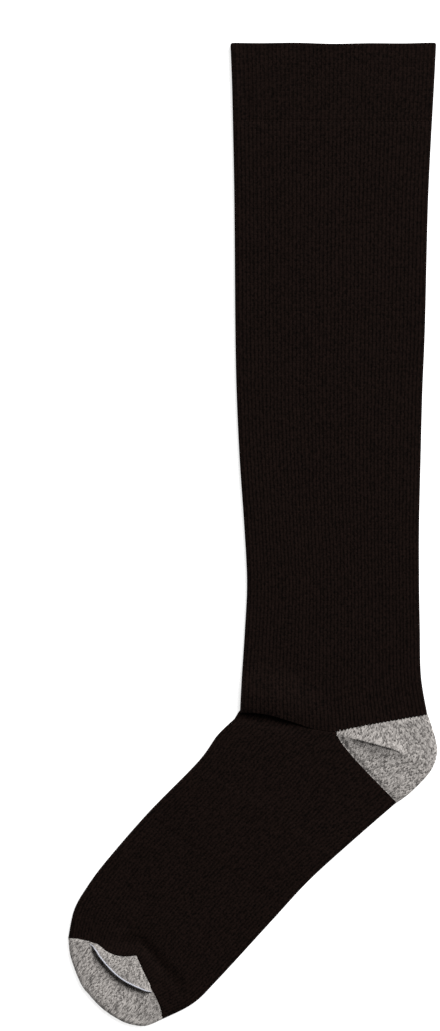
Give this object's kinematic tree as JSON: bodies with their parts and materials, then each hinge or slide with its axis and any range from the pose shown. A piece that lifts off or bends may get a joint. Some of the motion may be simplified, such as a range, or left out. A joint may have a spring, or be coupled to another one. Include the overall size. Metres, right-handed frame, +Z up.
{
  "type": "compression stocking",
  "caption": "Knee-high ribbed compression stocking lying flat, with a turned welt at the top, a band of wide ribs round the arch, and a heather grey heel pocket and toe cap.",
  "frame": {"origin": "middle of the flat stocking's outline, on the surface it lies on", "axes": "+Y along the leg towards the cuff, +Z up out of the surface, toe towards -X and -Y"},
  "size_m": [0.1957, 0.52, 0.0067],
  "materials": {
    "black_knit": "matte fine rib knit, near black with a warm cast",
    "heather_knit": "matte plain knit of mixed light and dark grey yarn"
  },
  "bodies": {
    "root": {"cuff_welt": "black_knit", "leg": "black_knit", "heel_pocket": "heather_knit", "foot": "black_knit", "toe_cap": "heather_knit"}
  },
  "joints": []
}
